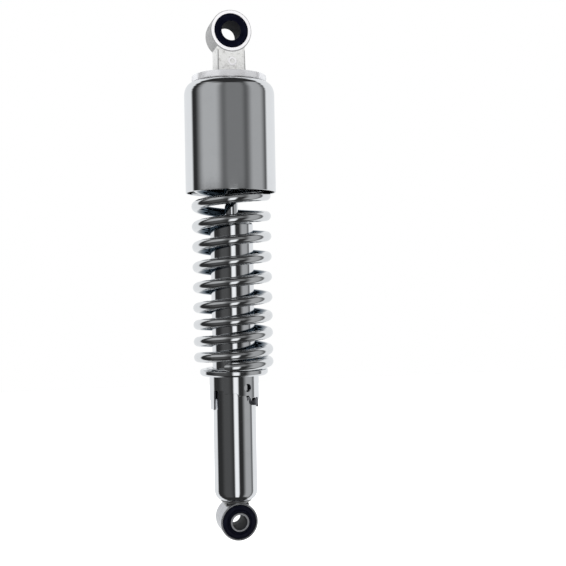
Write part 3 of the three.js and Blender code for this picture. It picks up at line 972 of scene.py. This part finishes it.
@dataclass
class CoilSpring:
    """The progressive spring: closed ends, tight turns below, open turns above.

    It is made in three lengths of one helix. The end turns ride rigidly on the two seats, and the
    working turns between them ride on the lower seat with a modifier that keeps the wire round if they close
    up.
    """

    wire: float = 0.0033
    radius: float = 0.0237
    start_bearing: float = -115.0
    start_centre: float = 0.1049
    closed_pitch: float = 0.0069
    closed_turns: float = 0.95
    tight_pitch: float = 0.0114
    tight_turns: float = 2.8
    open_pitch: float = 0.01378
    blend_turns: float = 0.25
    steps_per_turn: int = 72
    sides: int = 20
    heights: list[float] = field(default_factory=list)

    def _pitch(self, turns: float, total: float) -> float:
        """Pitch after a number of turns, blended from zone to zone."""
        def step(edge: float) -> float:
            share = (turns - edge + self.blend_turns) / (2 * self.blend_turns)
            share = min(1.0, max(0.0, share))
            return share * share * (3 - 2 * share)

        rise = (self.tight_pitch - self.closed_pitch) * step(self.closed_turns)
        opened = (self.open_pitch - self.tight_pitch) * step(self.closed_turns + self.tight_turns)
        closed = (self.open_pitch - self.closed_pitch) * step(total - self.closed_turns)
        return self.closed_pitch + rise + opened - closed

    def _wind(self, top_centre: float) -> None:
        """Finds the centre heights of the wire, one per step, so that the last turn ends at a height."""
        total = 2 * self.closed_turns
        while True:
            heights = [self.start_centre]
            count = round(total * self.steps_per_turn)
            for i in range(count):
                middle = (i + 0.5) / self.steps_per_turn
                heights.append(heights[-1] + self._pitch(middle, total) / self.steps_per_turn)
            if heights[-1] >= top_centre:
                self.heights = heights
                return
            total += 1 / self.steps_per_turn

    def _length(self, name: str, first: int, last: int, low: float, high: float) -> bpy.types.Mesh:
        """One length of the helix.

        Args:
            name: the mesh's name.
            first: the step where it starts.
            last: the step where it ends.
            low: the height of the ground lower end.
            high: the height of the ground upper end.

        Returns:
            A closed tube, with each point's height above the wire's centre as an attribute.
        """
        places: list[Vector] = []
        offsets: list[float] = []
        for i in range(first, last + 1):
            bearing = self.start_bearing + 360 * i / self.steps_per_turn
            centre = polar(self.radius, bearing, self.heights[i])
            outward = polar(1, bearing, 0)
            before, after = self.heights[max(i - 1, 0)], self.heights[min(i + 1, len(self.heights) - 1)]
            rise = (after - before) / (2 * 2 * math.pi * self.radius / self.steps_per_turn)
            along = polar(1, bearing + 90, rise).normalized()
            up = outward.cross(along).normalized()
            taper = self._taper(i)
            for side in range(self.sides):
                angle = 2 * math.pi * side / self.sides
                offset = (outward * math.cos(angle) + up * math.sin(angle)) * self.wire * taper
                place = centre + offset
                place.z = min(max(place.z, low), high)
                places.append(place)
                offsets.append(place.z - centre.z)
        faces = ring_faces(last - first + 1, self.sides)
        faces.append(tuple(range(self.sides)))
        faces.append(tuple((last - first) * self.sides + side for side in reversed(range(self.sides))))
        mesh = bpy.data.meshes.new(name)
        mesh.from_pydata(places, [], faces)
        attribute = mesh.attributes.new("above_centre", "FLOAT", "POINT")
        attribute.data.foreach_set("value", offsets)
        return smooth(mesh, 50)

    def _taper(self, step: int) -> float:
        """Share of the wire's full thickness at a step: the last few degrees are rounded off."""
        from_end = min(step, len(self.heights) - 1 - step)
        round_steps = 2
        if from_end >= round_steps:
            return 1.0
        return 0.72 + 0.28 * math.sqrt(1 - (1 - from_end / round_steps) ** 2)

    def build(self) -> None:
        """Builds the three lengths of the spring."""
        low_corner, high_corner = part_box("coil_spring")
        low, high = low_corner.z, high_corner.z
        self._wind(high - (self.start_centre - low))
        last = len(self.heights) - 1
        bottom = round(self.closed_turns * self.steps_per_turn)
        top = last - bottom
        lower_end = self._length("spring_lower_end", 0, bottom, low, high)
        finished("spring_lower_end", lower_end, SPRING_CHROME, Body.SEAT, "coil_spring")
        upper_end = self._length("spring_upper_end", top, last, low, high)
        finished("spring_upper_end", upper_end, SPRING_CHROME, Body.SPRING_TOP)
        working = finished(
            "spring_working_turns",
            self._length("spring_working_turns", bottom, top, low, high),
            SPRING_CHROME,
            Body.SEAT,
        )
        travel = next(-joint["range_m"][0] for joint in frame["joints"] if joint["name"] == "compression")
        foot, length = self.heights[bottom], self.heights[top] - self.heights[bottom]
        self._keep_round(working, foot)
        (length - travel) / length
        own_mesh(working)

    def _keep_round(self, piece: bpy.types.Object, foot: float) -> None:
        """Keeps the wire round while its turns close up.

        Args:
            piece: the working turns, whose wire it keeps round if their heights shrink towards their foot.
            foot: the height that does not move.
        """
        rest_top = max(vertex.co.z for vertex in piece.data.vertices)
        group = bpy.data.node_groups.new("keep_wire_round", "GeometryNodeTree")
        group.interface.new_socket("Geometry", in_out="INPUT", socket_type="NodeSocketGeometry")
        group.interface.new_socket("Geometry", in_out="OUTPUT", socket_type="NodeSocketGeometry")
        tree = Tree(group)
        given = tree.add("NodeGroupInput")
        _, _, height = tree.split(tree.add("GeometryNodeInputPosition"))
        top = tree.add("GeometryNodeAttributeStatistic", None, {"Geometry": given, "Attribute": height}, "Max")
        kept = (top - foot) / (rest_top - foot)
        above = tree.add(
            "GeometryNodeInputNamedAttribute", {"data_type": "FLOAT"}, {"Name": "above_centre"}, "Attribute",
        )
        lift = tree.add("ShaderNodeCombineXYZ", None, {"Z": above * (1 - kept)})
        moved = tree.add("GeometryNodeSetPosition", None, {"Geometry": given, "Offset": lift})
        tree.add("NodeGroupOutput", None, {0: moved})
        modifier = piece.modifiers.new("keep_wire_round", "NODES")
        modifier.node_group = group


@dataclass
class SpringSeats:
    """The turned ring under the spring and the pressed ring above it."""

    spigot: float = 0.003
    lip: float = 0.0009

    def build(self) -> None:
        """Builds both seats from the frame's sizes."""
        low_corner, high_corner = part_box("lower_spring_seat")
        low, radius = low_corner.z, high_corner.x
        top = high_corner.z - self.spigot
        bore = 0.01485
        corners = [
            (bore, low, 0.0002),
            (radius - 0.0012, low, 0.0004),
            (radius, low + 0.0012, 0.0008),
            (radius, top - 0.0004, 0.0008),
            (radius - 0.0008, top, 0.0003),
            (0.0196, top, 0.0004),
            (0.0192, top + self.lip, 0.0006),
            (bore, top + self.lip, 0.0003),
        ]
        turned("spring_seat_ring", corners, CHROME, Body.SEAT, "lower_spring_seat", facets=144)
        low_corner, high_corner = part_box("upper_spring_seat")
        foot, high, radius = low_corner.z, high_corner.z, high_corner.x
        plate = high - 0.0018
        corners = [
            (0.0132, plate, 0.0002),
            (0.0176, plate, 0.0006),
            (0.0180, foot, 0.0005),
            (0.0194, foot, 0.0005),
            (0.0197, plate, 0.0006),
            (radius, plate, 0.0004),
            (radius, high, 0.0006),
            (0.0132, high, 0.0004),
        ]
        turned("upper_seat_ring", corners, ZINC, Body.SPRING_TOP, "upper_spring_seat", facets=128)


# ------------------------------------------------------------------ preload collar


@dataclass
class PreloadCollar:
    """The stepped collar that sets the spring's preload, and the two pegs that carry it."""

    inner: float = 0.0154
    outer: float = 0.0167
    edge: float = 0.00025
    peg_bearing: float = -44.0
    peg_height: float = 0.0805
    peg_radius: float = 0.00245
    peg_tip: float = 0.0177
    step_angle: float = 32.0
    step_rise: float = 0.00175
    steps_softer: int = 3
    steps_harder: int = 1
    ridge_drop: float = 0.0022
    low_ridge: float = 0.0007
    leg_width: float = 21.0
    hole_radius: float = 0.00275
    hole_height: float = 0.0903
    hole_bearing: float = -68.5

    def build(self) -> None:
        """Builds the collar and its pegs."""
        low_corner, high_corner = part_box("preload_cam")
        self.collar(low_corner.z, high_corner.z)
        for side, bearing in (("right", self.peg_bearing), ("left", self.peg_bearing + 180)):
            self.peg(side, bearing)

    def _edge_height(self, bearing: float, leg_low: float) -> float:
        """Height of the collar's lower edge at a bearing, in degrees."""
        softest = -(self.steps_softer + 0.5) * self.step_angle
        hardest = (self.steps_harder + 0.5) * self.step_angle
        local = (bearing - self.peg_bearing - softest) % 180 + softest
        if local > hardest:
            return leg_low
        slope = self.step_rise / self.step_angle
        nearest = round(local / self.step_angle)
        crown = self.peg_height + self.peg_radius + 0.0003 - slope * nearest * self.step_angle
        off = abs(local - nearest * self.step_angle) / (self.step_angle / 2)
        rise = min(1.0, max(0.0, (off - 0.62) / 0.38))
        tall = nearest == 0 or (nearest == -1 and local > nearest * self.step_angle)
        ridge = self.ridge_drop if tall else self.low_ridge
        return crown - ridge * rise * rise * (3 - 2 * rise)

    def collar(self, leg_low: float, high: float) -> None:
        """The collar: a ring with a stepped lower edge, drilled for a spanner."""
        samples = 720
        edge = [self._edge_height(360 * i / samples, leg_low) for i in range(samples)]
        columns = [(edge[i - 1] + edge[i] + edge[(i + 1) % samples]) / 3 for i in range(samples)]
        mesh = self._shell(columns, high, self.edge)
        cutters = [self._drill(self.hole_bearing + opposite) for opposite in (0, 180)]
        mesh = joined(mesh, cutters, "DIFFERENCE")
        self._true_normals(mesh)
        finished("preload_collar", mesh, CHROME, Body.COLLAR, "preload_cam")
        # painted shade: the stepped lower edge and the spanner holes get the near-black finish
        mesh.materials.append(CUT_FACE_SHADE.material())
        for face in mesh.polygons:
            outward = Vector((face.center.x, face.center.y, 0)).normalized()
            shaded_cut_face = abs(face.normal.dot(outward)) < 0.6 and face.normal.z < 0.5
            face.material_index = 1 if shaded_cut_face else 0

    def _shell(self, columns: Sequence[float], high: float, rounding: float) -> bpy.types.Mesh:
        """A closed ring whose lower edge follows given heights, its four edges rounded."""
        count = len(columns)
        places: list[Vector] = []
        for i, low in enumerate(columns):
            bearing = 360 * i / count
            section = [
                (self.outer - rounding, low),
                (self.outer - rounding * 0.3, low + rounding * 0.3),
                (self.outer, low + rounding),
                (self.outer, high - rounding),
                (self.outer - rounding * 0.3, high - rounding * 0.3),
                (self.outer - rounding, high),
                (self.inner + rounding, high),
                (self.inner, high - rounding),
                (self.inner, low + rounding),
                (self.inner + rounding, low),
            ]
            places.extend(polar(radius, bearing, height) for radius, height in section)
        mesh = bpy.data.meshes.new("preload_collar")
        mesh.from_pydata(places, [], ring_faces(count, len(places) // count, closed=True))
        return mesh

    def _drill(self, bearing: float) -> bpy.types.Mesh:
        """A drill through the collar's wall for one spanner hole."""
        drill = Turning(
            [(0, 0.010, 0), (self.hole_radius, 0.010, 0), (self.hole_radius, 0.022, 0), (0, 0.022, 0)],
            facets=40,
        ).mesh("drill")
        pointed_outward(drill, bearing, self.hole_height)
        return drill

    @staticmethod
    def _true_normals(mesh: bpy.types.Mesh) -> None:
        """Gives the collar's round walls the normals of a true cylinder."""
        smooth(mesh, 30)
        normals = [Vector(corner.vector) for corner in mesh.corner_normals]
        for face in mesh.polygons:
            middle = Vector((face.center.x, face.center.y, 0)).normalized()
            facing = face.normal.dot(middle)
            if abs(facing) < 0.985:
                continue
            for loop in face.loop_indices:
                place = mesh.vertices[mesh.loops[loop].vertex_index].co
                normals[loop] = Vector((place.x, place.y, 0)).normalized() * math.copysign(1, facing)
        mesh.normals_split_custom_set(normals)

    def peg(self, side: str, bearing: float) -> None:
        """One peg: a short pin with a domed end, pressed into the tube."""
        root, tip = 0.0140, self.peg_tip
        mesh = Turning(
            [
                (0, root, 0),
                (self.peg_radius, root, 0),
                (self.peg_radius, tip - 0.0006, 0.0006),
                (self.peg_radius - 0.0009, tip - 0.0001, 0.0008),
                (0, tip, 0),
            ],
            facets=40,
        ).mesh(f"collar_peg_{side}")
        pointed_outward(mesh, bearing, self.peg_height)
        finished(f"collar_peg_{side}", smooth(mesh), PEG_STEEL, Body.DAMPER, f"cam_peg_{side}")


# ------------------------------------------------------------------ damper body


@dataclass
class DamperBody:
    """The chrome tube with its drawn-in foot, the rolled mouth, the top cap and the wiper."""

    wall: float = 0.0013
    shoulder_rise: float = 0.0066
    shoulder_in: float = 0.0052
    foot_hole: float = 0.008
    lip: float = 0.0116
    roll: float = 0.0018

    def build(self) -> None:
        """Builds the tube and what closes its mouth."""
        self.tube()
        self.mouth()

    def tube(self) -> None:
        """The outer tube."""
        low_corner, high_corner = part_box("damper_tube")
        low, high, radius = low_corner.z, high_corner.z, high_corner.x
        bore = radius - self.wall
        centre = (radius - self.shoulder_in, low + self.shoulder_rise)
        corners = [
            (self.foot_hole, low, 0),
            *arc_points(centre, (self.shoulder_in, self.shoulder_rise), -90, 0, 8),
            (radius, high, self.roll),
            (self.lip, high, 0.0003),
            (self.lip, high - self.wall, 0),
            (bore, high - self.wall, 0),
            *arc_points(centre, (self.shoulder_in - self.wall, self.shoulder_rise - self.wall), 0, -90, 8),
            (self.foot_hole, low + self.wall, 0),
        ]
        turned("damper_tube_chrome", corners, CHROME, Body.DAMPER, "damper_tube", facets=144)

    def mouth(self) -> None:
        """The cap and the wiper round the rod."""
        cap_low, cap_high = (corner.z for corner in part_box("body_top_cap"))
        corners = [
            (0.0052, cap_low, 0),
            (0.0130, cap_low, 0.0003),
            (0.0130, cap_high - 0.0032, 0.0003),
            (0.0112, cap_high - 0.0032, 0),
            (0.0112, cap_high - 0.0012, 0.0008),
            (0.0088, cap_high, 0.0006),
            (0.0072, cap_high, 0.0003),
            (0.0072, cap_low + 0.005, 0),
            (0.0052, cap_low + 0.005, 0),
        ]
        turned("mouth_cap", corners, ZINC, Body.DAMPER, "body_top_cap", facets=80)
        low, high = (corner.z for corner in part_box("dust_wiper"))
        corners = [
            (0.0046, low, 0),
            (0.0070, low, 0),
            (0.0070, high - 0.0012, 0.0006),
            (0.0054, high, 0.0005),
            (0.0046, high, 0.0002),
        ]
        turned("rod_wiper", corners, SEAL_RUBBER, Body.DAMPER, "dust_wiper", facets=80)


@dataclass
class PistonRod:
    """The hard-chromed rod and the bump stop on it."""

    radius: float = 0.0045
    thread: float = 0.004
    spigot: float = 0.003
    spigot_top: float = 0.1615
    thread_foot: float = 0.2892

    def build(self) -> None:
        """Builds the rod and the stop."""
        low, high = (corner.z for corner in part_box("piston_rod"))
        corners = [
            (0, low, 0),
            (self.spigot, low, 0.0004),
            (self.spigot, self.spigot_top, 0),
            (self.radius, self.spigot_top, 0.0003),
            (self.radius, self.thread_foot, 0.0003),
            (self.thread, self.thread_foot, 0),
            (self.thread, high, 0.0006),
            (0, high, 0),
        ]
        turned("chromed_rod", corners, CHROME, Body.ROD, "piston_rod", facets=72)
        self.bump_stop()

    def bump_stop(self) -> None:
        """The waisted stop that is squeezed at the end of the stroke."""
        low, high = (corner.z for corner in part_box("bump_stop"))
        bore = self.radius + 0.0001
        waists = [
            (0.0, 0.0074), (0.0026, 0.0086), (0.0052, 0.0076),
            (0.0084, 0.0100), (0.0114, 0.0088), (0.0148, 0.0112),
        ]
        outline = [(bore, low, 0.0004)]
        outline += [(radius, low + rise, 0.0012) for rise, radius in waists]
        outline += [(0.0112, high, 0.0006), (bore, high, 0.0003)]
        turned("bump_stop_foam", outline, POLYURETHANE, Body.ROD, "bump_stop", facets=64)


# ------------------------------------------------------------------ lower eye


@dataclass
class LowerEye:
    """The welded eye: saddle, beads, steel ring, rubber bush and bolt sleeve."""

    ring_radius: float = 0.0126
    ring_wall: float = 0.0012
    ring_half: float = 0.0105
    sleeve_radius: float = 0.00635
    sleeve_bore: float = 0.005
    sleeve_half: float = 0.012

    def build(self) -> None:
        """Builds the eye's pieces."""
        self.ring()
        self.bush()
        self.sleeve()
        self.saddle()
        for side, sign in (("left", -1), ("right", 1)):
            self.bead(side, sign)

    def ring(self) -> None:
        """The steel ring that holds the bush."""
        inner, outer, half = self.ring_radius - self.ring_wall, self.ring_radius, self.ring_half
        corners = both_ends([(inner, half, 0.0003), (outer, half, 0.0008)])
        turned("eye_ring", corners, RING_STEEL, Body.DAMPER, "lower_eye_ring", facets=144, axis=Axis.ACROSS)

    def bush(self) -> None:
        """The rubber bush, swollen into a round ring at each end, with a boss round the sleeve."""
        outer = self.ring_radius - self.ring_wall - 0.00005
        bore = self.sleeve_radius + 0.0001
        half = [
            (bore, 0.0104, 0.0002),
            (0.0077, 0.0106, 0.0003),
            (0.0079, 0.0101, 0.0003),
            (0.0084, 0.0110, 0.0008),
            (0.0096, 0.0113, 0.0012),
            (outer - 0.0003, 0.0104, 0.0006),
            (outer, 0.0098, 0.0004),
        ]
        turned(
            "eye_bush_rubber", both_ends(half), RUBBER, Body.DAMPER, "lower_bush",
            facets=120, axis=Axis.ACROSS,
        )

    def sleeve(self) -> None:
        """The steel sleeve for the bolt."""
        half = self.sleeve_half
        corners = both_ends([(self.sleeve_bore, half, 0.0003), (self.sleeve_radius, half, 0.0004)])
        turned("bolt_sleeve", corners, SLEEVE_STEEL, Body.SLEEVE, "lower_sleeve", axis=Axis.ACROSS)

    def saddle(self) -> None:
        """The drawn-in saddle between the tube's foot and the ring."""
        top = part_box("eye_saddle")[1].z + 0.0002
        cone = Turning(
            [
                (0, 0.0085, 0),
                (0.0068, 0.0085, 0),
                (0.0072, 0.0104, 0.0008),
                (0.0104, top - 0.0005, 0.0010),
                (0.0106, top, 0),
                (0, top, 0),
            ],
            facets=96,
        ).mesh("cone")
        hollow = Turning(both_ends([(0, 0.02, 0), (self.ring_radius - 0.0004, 0.02, 0)]), axis=Axis.ACROSS)
        mesh = smooth(joined(cone, [hollow.mesh("hollow")], "DIFFERENCE"), 30)
        finished("eye_saddle_plate", mesh, WELD_STEEL, Body.DAMPER, "eye_saddle")

    def bead(self, side: str, sign: int) -> None:
        """One rippled weld bead along the corner between the saddle and the ring."""
        steps, sides = 60, 14
        places: list[Vector] = []
        for i in range(steps + 1):
            share = i / steps
            ends = math.sqrt(max(0.0, 1 - (2 * share - 1) ** 8))
            ripple = 0.86 + 0.14 * abs(math.sin(share * math.pi * 9))
            radius = max(0.00002, 0.0008 * ends * ripple)
            wander = 0.00012 * math.sin(share * 17 + sign)
            for j in range(sides):
                angle = 2 * math.pi * j / sides
                places.append(Vector((
                    sign * 0.0074 + wander + radius * math.cos(angle),
                    -0.0048 + 0.0096 * share,
                    0.0103 + radius * math.sin(angle),
                )))
        faces = ring_faces(steps + 1, sides, flip=True)
        faces.append(tuple(reversed(range(sides))))
        faces.append(tuple(steps * sides + j for j in range(sides)))
        mesh = bpy.data.meshes.new(f"eye_weld_{side}")
        mesh.from_pydata(places, [], faces)
        work = bmesh.new()
        work.from_mesh(mesh)
        bmesh.ops.recalc_face_normals(work, faces=work.faces)
        work.to_mesh(mesh)
        work.free()
        finished(f"eye_weld_{side}", smooth(mesh, 60), WELD_STEEL, Body.DAMPER, f"weld_bead_{side}")


# ------------------------------------------------------------------ inner parts


@dataclass
class InnerParts:
    """The parts inside the tube, which keep the frame's shapes and get their finishes."""

    finishes: dict[str, Finish] = field(default_factory=lambda: {
        "base_cap": OILED_STEEL,
        "base_valve": SINTERED,
        "base_valve_plate": OILED_STEEL,
        "base_valve_rivet": OILED_STEEL,
        "pressure_tube": OILED_STEEL,
        "rod_guide": SINTERED,
        "guide_bush": BRONZE,
        "guide_o_ring": SEAL_RUBBER,
        "oil_seal": SEAL_RUBBER,
        "rebound_bumper": SEAL_RUBBER,
        "check_valve_plate": OILED_STEEL,
        "piston": SINTERED,
        "piston_ring": PTFE,
        "valve_shims": OILED_STEEL,
        "piston_nut": ZINC,
        "bump_stop_washer": ZINC,
        "rod_lock_nut": ZINC,
    })

    def build(self) -> None:
        """Dresses each inner part."""
        for node, finish in self.finishes.items():
            mesh = frame["nodes"][node].data
            mesh.materials.clear()
            mesh.materials.append(finish.material())
            LOG.info("%s: dressed in %s", node, finish.name)


# ------------------------------------------------------------------ studio


@dataclass(frozen=True)
class SoftBox:
    """A plain soft light standing round the object, in degrees round it and up from level."""

    bearing: float
    half_width: float
    level: float
    low: float = -90.0
    high: float = 90.0
    edge: float = 8.0

    def cover(self, bearing: Value, rise: Value) -> Value:
        """How much of a direction the box covers.

        Args:
            bearing: the direction's bearing, in degrees.
            rise: its elevation, in degrees.

        Returns:
            0 outside the box and 1 inside it, with soft edges.
        """
        across = abs(bearing - self.bearing).step(self.half_width + self.edge, self.half_width)
        return across * rise.step(self.low - 1, self.low + 1) * rise.step(self.high + 1, self.high - 1)


SOFT_BOXES = (
    SoftBox(bearing=-50, half_width=15, level=0.45, low=5, edge=30),
    SoftBox(bearing=-40, half_width=10, level=0.08, high=5, edge=30),
    SoftBox(bearing=10, half_width=6, level=1.0, high=5, edge=10),
    SoftBox(bearing=15, half_width=15, level=0.2, low=5, edge=25),
    SoftBox(bearing=75, half_width=10, level=0.4, edge=25),
)


@dataclass
class Studio:
    """The pale floor, the soft light and the camera."""

    distance: float = 0.68
    azimuth: float = -14.0
    eye_level: float = 0.15995
    shift_right: float = 0.0344
    width_at_object: float = 0.3857
    roll: float = 1.0
    floor_drop: float = 0.15
    room_level: float = 0.03
    wall_level: float = 0.85
    wall_bearing: float = 105.0
    ceiling_rise: float = 44.0
    key_power: float = 3.0
    key_side: float = 0.5

    @property
    def toward_camera(self) -> Vector:
        """Level direction from the object to the camera."""
        turn = math.radians(self.azimuth)
        return Vector((math.sin(turn), -math.cos(turn), 0))

    @property
    def to_the_right(self) -> Vector:
        """Level direction to the camera's right."""
        turn = math.radians(self.azimuth)
        return Vector((math.cos(turn), math.sin(turn), 0))

    def build(self) -> None:
        """Builds everything that is not the object."""
        self.place_camera()
        self.floor()
        self.surroundings()
        self.lights()
        bpy.context.scene.view_settings.view_transform = "Standard"

    def place_camera(self) -> None:
        """A level camera, turned a little off the object's front and rolled a little."""
        data = bpy.data.cameras.new("camera")
        data.sensor_width = 36.0
        data.lens = data.sensor_width * self.distance / self.width_at_object
        camera = bpy.data.objects.new("camera", data)
        bpy.context.scene.collection.objects.link(camera)
        rest = self.toward_camera * self.distance + self.to_the_right * self.shift_right
        camera.location = rest + Vector((0, 0, self.eye_level))
        level = (-self.toward_camera).to_track_quat("-Z", "Y").to_matrix()
        camera.rotation_euler = (level @ Matrix.Rotation(math.radians(-self.roll), 3, "Z")).to_euler()
        data.clip_start = 0.01
        data.clip_end = 50
        bpy.context.scene.camera = camera

    def floor(self) -> None:
        """A wide pale floor below the hanging object."""
        half = 2.5
        mesh = bpy.data.meshes.new("floor")
        corners = [(-half, -half, 0), (half, -half, 0), (half, half, 0), (-half, half, 0)]
        mesh.from_pydata(corners, [], [(0, 1, 2, 3)])
        mesh.materials.append(PaleFloor().material())
        floor = bpy.data.objects.new("floor", mesh)
        floor.location.z = CAD_BOX[0].z - self.floor_drop
        floor.visible_glossy = False
        bpy.context.scene.collection.objects.link(floor)

    def surroundings(self) -> None:
        """A dim room in front, pale walls behind and soft boxes; matt pieces see plain white."""
        world = bpy.data.worlds.new("studio")
        world.use_nodes = True
        bpy.context.scene.world = world
        tree = Tree(world.node_tree)
        ray = tree.add("ShaderNodeTexCoord", output="Generated")
        right = tree.dot(ray, tuple(self.to_the_right))
        front = tree.dot(ray, tuple(self.toward_camera))
        _, _, up = tree.split(ray)
        bearing = right.arctangent(front) * (180 / math.pi)
        rise = up.arcsine() * (180 / math.pi)
        walls = abs(bearing).step(self.wall_bearing - 3, self.wall_bearing + 8)
        level = walls * (self.wall_level - self.room_level) + self.room_level
        for box in SOFT_BOXES:
            level = level + (box.level - level) * box.cover(bearing, rise)
        overhead = abs(rise).step(self.ceiling_rise, self.ceiling_rise + 8) * front.step(-0.34, -0.14)
        level = level * (1 - overhead) + overhead * self.room_level
        mirrored = tree.add("ShaderNodeBackground", None, {"Color": (0.96, 0.98, 1.0), "Strength": level})
        plain = tree.add("ShaderNodeBackground", None, {"Color": (1.0, 1.0, 1.0), "Strength": 1.0})
        glossy = tree.add("ShaderNodeLightPath", output="Is Glossy Ray")
        chosen = tree.add("ShaderNodeMixShader", None, {0: glossy, 1: plain, 2: mirrored})
        tree.add("ShaderNodeOutputWorld", None, {"Surface": chosen})

    def lights(self) -> None:
        """A soft key light above the camera's left, not mirrored by the chrome."""
        data = bpy.data.lights.new("key", "AREA")
        data.shape = "RECTANGLE"
        data.size = self.key_side
        data.size_y = self.key_side
        data.energy = self.key_power
        light = bpy.data.objects.new("key", data)
        target = Vector((0, 0, 0.2))
        light.location = target + self.toward_camera * 0.8 - self.to_the_right * 0.5 + Vector((0, 0, 0.6))
        light.rotation_euler = (target - light.location).to_track_quat("-Z", "Y").to_euler()
        light.visible_glossy = False
        bpy.context.scene.collection.objects.link(light)


def main() -> None:
    """Builds the studio and then each sub-assembly in order, from the top down."""
    logging.basicConfig(level=logging.INFO, format="%(name)s: %(message)s")
    Studio().build()
    UpperMount().build()
    Shroud().build()
    PistonRod().build()
    CoilSpring().build()
    SpringSeats().build()
    PreloadCollar().build()
    DamperBody().build()
    LowerEye().build()
    InnerParts().build()


if __name__ == "__main__":
    main()
